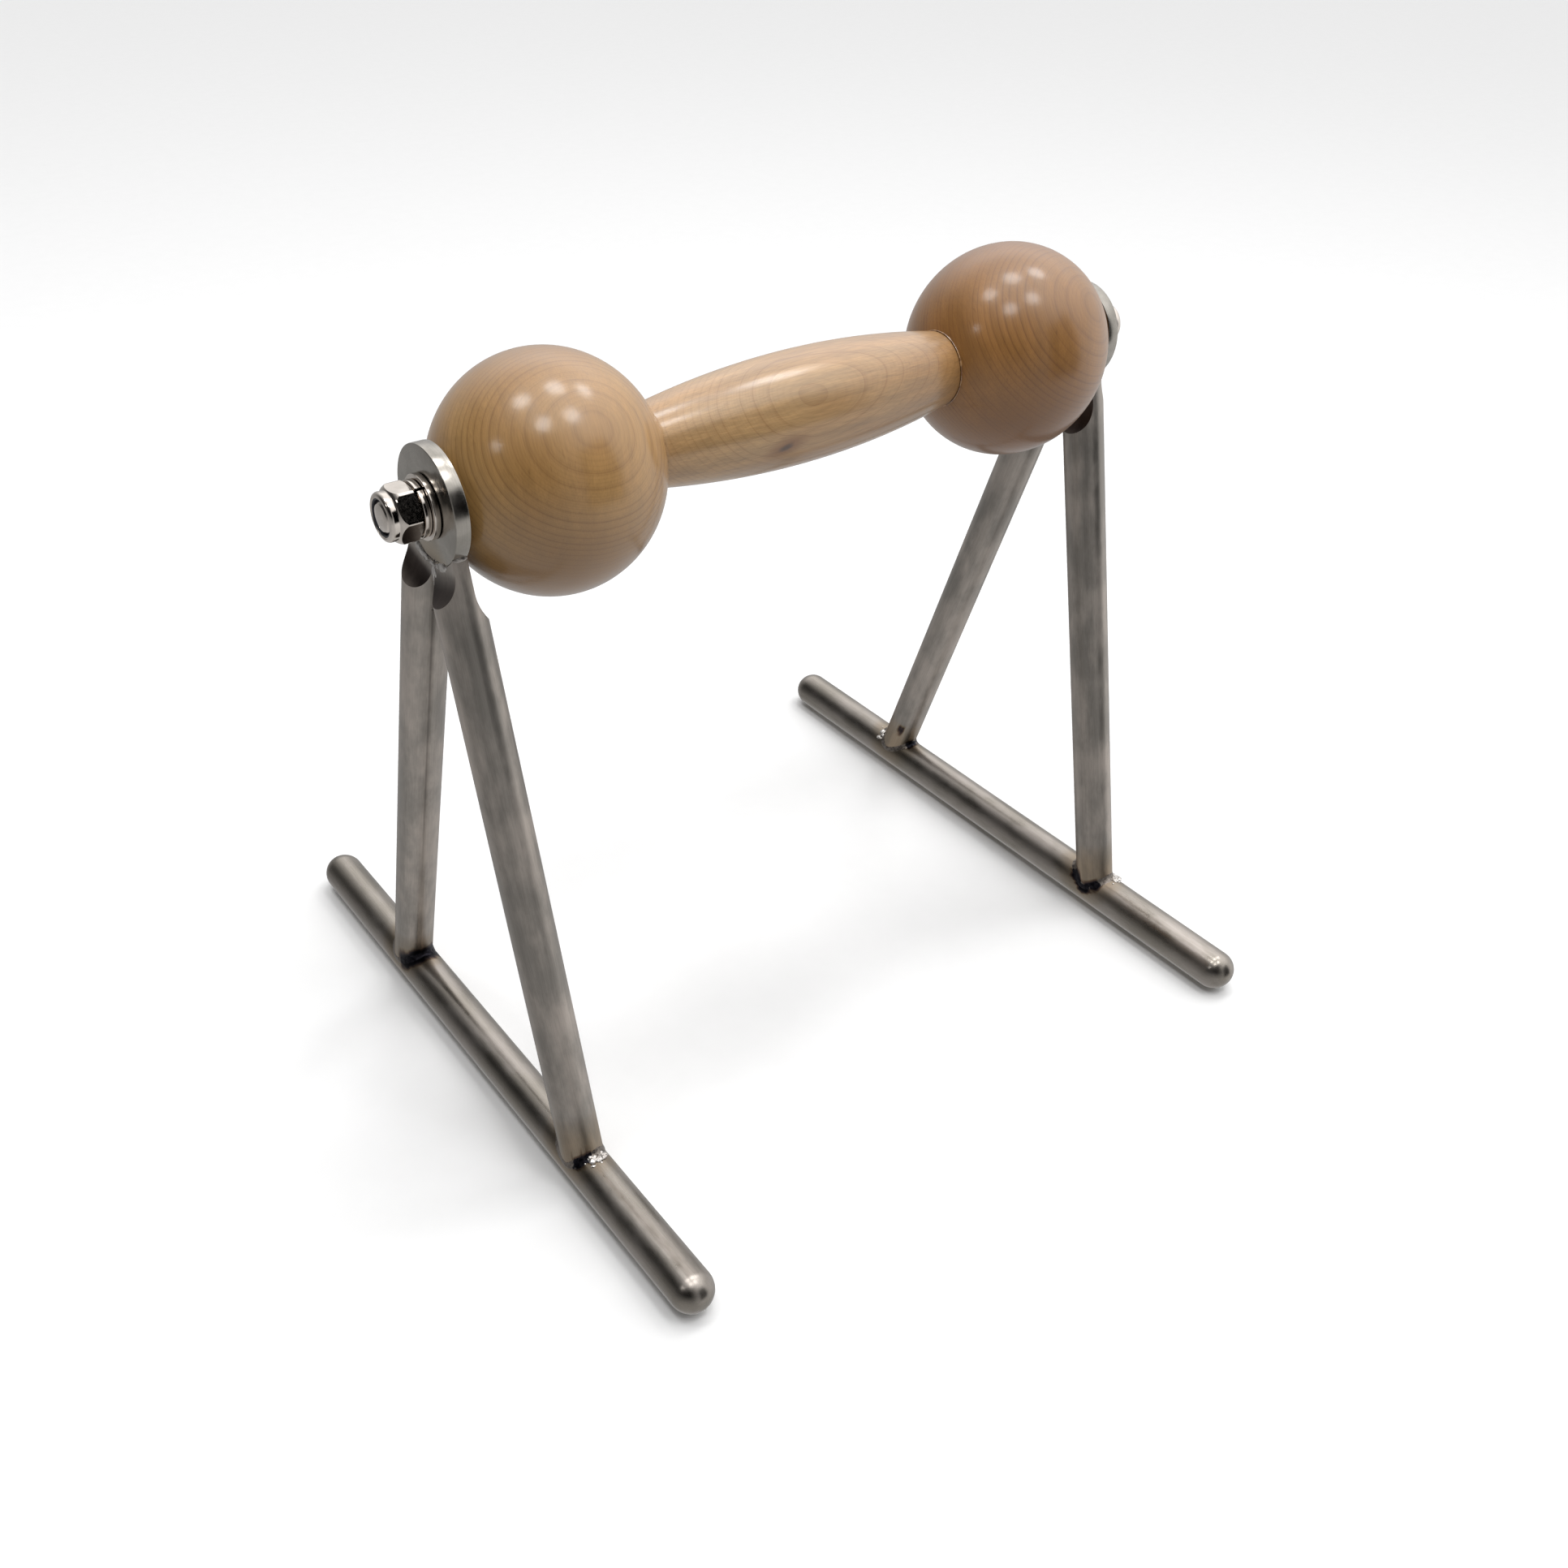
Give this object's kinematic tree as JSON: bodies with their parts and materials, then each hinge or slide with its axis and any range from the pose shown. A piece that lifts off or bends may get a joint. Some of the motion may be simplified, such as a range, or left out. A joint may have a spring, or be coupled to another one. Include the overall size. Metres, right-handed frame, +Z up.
{
  "type": "raised wooden grip stand",
  "caption": "Wooden barrel grip between two wooden balls, free to turn on a steel axle carried by two welded A-frame stands.",
  "frame": {"origin": "on the ground, midway between the two stands and straight below the middle of the axle", "axes": "+X along the axle from the left stand to the right one, +Y to the rear along the foot bars, +Z up"},
  "size_m": [0.3752, 0.346, 0.335],
  "materials": {
    "ball_wood": "clear lacquered maple, warm tan with fine rings",
    "grip_wood": "clear lacquered birch, paler, with flame grain and a knot",
    "leg_steel": "pickled satin stainless bar with cloudy patches",
    "foot_steel": "smooth drawn stainless bar with straw tint near the welds",
    "turned_steel": "faced and turned stainless",
    "weld_metal": "rippled weld bead, dark blue-black heat tint",
    "bright_fastener": "bright polished stainless",
    "nylon": "dark locking ring"
  },
  "bodies": {
    "left_stand": {"left_boss_disc": "turned_steel", "left_foot_bar": "foot_steel", "left_front_leg": "leg_steel", "left_rear_leg": "leg_steel", "left_front_weld": "weld_metal", "left_rear_weld": "weld_metal"},
    "axle": {"axle_rod": "bright_fastener", "left_flat_washer": "bright_fastener", "left_spring_washer": "bright_fastener", "left_lock_nut": "bright_fastener", "left_nylon_insert": "nylon", "right_flat_washer": "bright_fastener", "right_spring_washer": "bright_fastener", "right_lock_nut": "bright_fastener", "right_nylon_insert": "nylon"},
    "dumbbell": {"grip": "grip_wood", "left_ball": "ball_wood", "right_ball": "ball_wood"},
    "right_stand": {"right_boss_disc": "turned_steel", "right_foot_bar": "foot_steel", "right_front_leg": "leg_steel", "right_rear_leg": "leg_steel", "right_front_weld": "weld_metal", "right_rear_weld": "weld_metal"}
  },
  "joints": [
    {"name": "axle_turn", "type": "hinge", "parent": "left_stand", "child": "axle", "pos_m": [0, 0, 0.29], "axis": [1, 0, 0], "continuous": true},
    {"name": "grip_turn", "type": "hinge", "parent": "axle", "child": "dumbbell", "pos_m": [0, 0, 0.29], "axis": [1, 0, 0], "continuous": true},
    {"name": "right_stand_swing", "type": "hinge", "parent": "axle", "child": "right_stand", "pos_m": [0, 0, 0.29], "axis": [1, 0, 0], "continuous": true}
  ]
}
